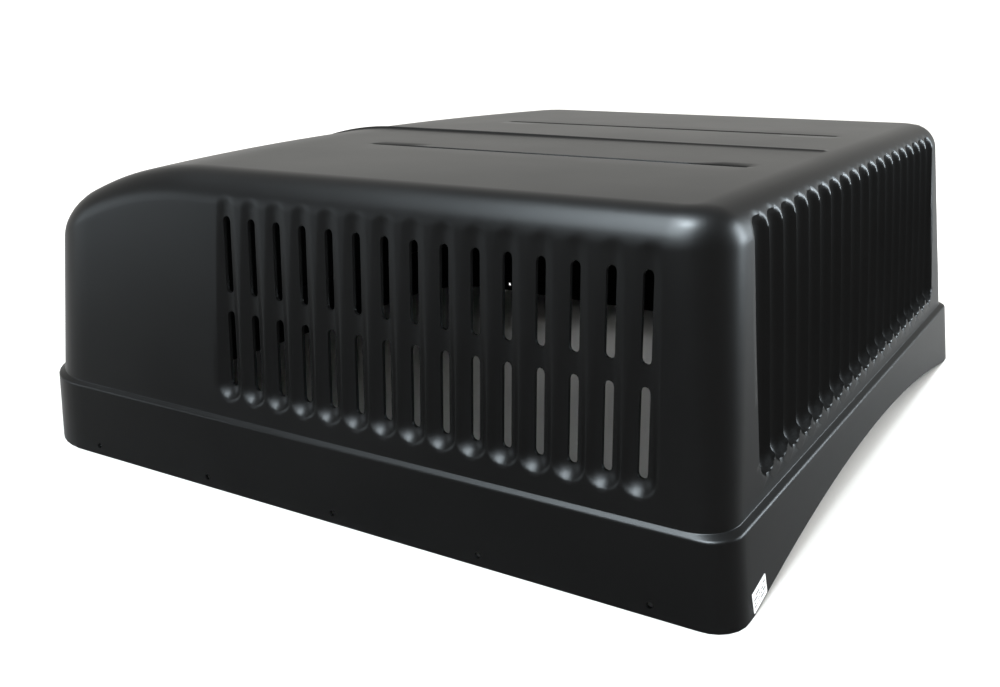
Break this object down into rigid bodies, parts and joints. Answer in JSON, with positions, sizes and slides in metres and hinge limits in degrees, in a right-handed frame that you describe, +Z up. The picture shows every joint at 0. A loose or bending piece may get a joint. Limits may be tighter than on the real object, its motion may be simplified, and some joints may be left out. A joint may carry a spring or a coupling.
{
  "type": "rooftop air conditioner shroud",
  "caption": "Black moulded shroud for a rooftop air conditioner: falling nose, fluted louvre sides and rear, skirt with screw holes, open underneath.",
  "frame": {"origin": "middle of the skirt's lower edge, on the plane the shroud stands on", "axes": "+Z up; +X towards the fluted rear grille, -X towards the sloping nose; the two long fluted sides face -Y and +Y"},
  "size_m": [0.7302, 0.7, 0.2772],
  "materials": {
    "shell_black": "satin black moulded plastic with a fine grain",
    "label_white": "white vinyl sticker with a plain grey pattern",
    "seal_foam": "closed-cell black foam strip"
  },
  "bodies": {
    "root": {"cover_shell": "shell_black", "data_label": "label_white", "front_seal_roof": "seal_foam", "front_seal_left": "seal_foam", "front_seal_right": "seal_foam", "rear_seal_roof": "seal_foam", "rear_seal_left": "seal_foam", "rear_seal_right": "seal_foam"}
  },
  "joints": []
}
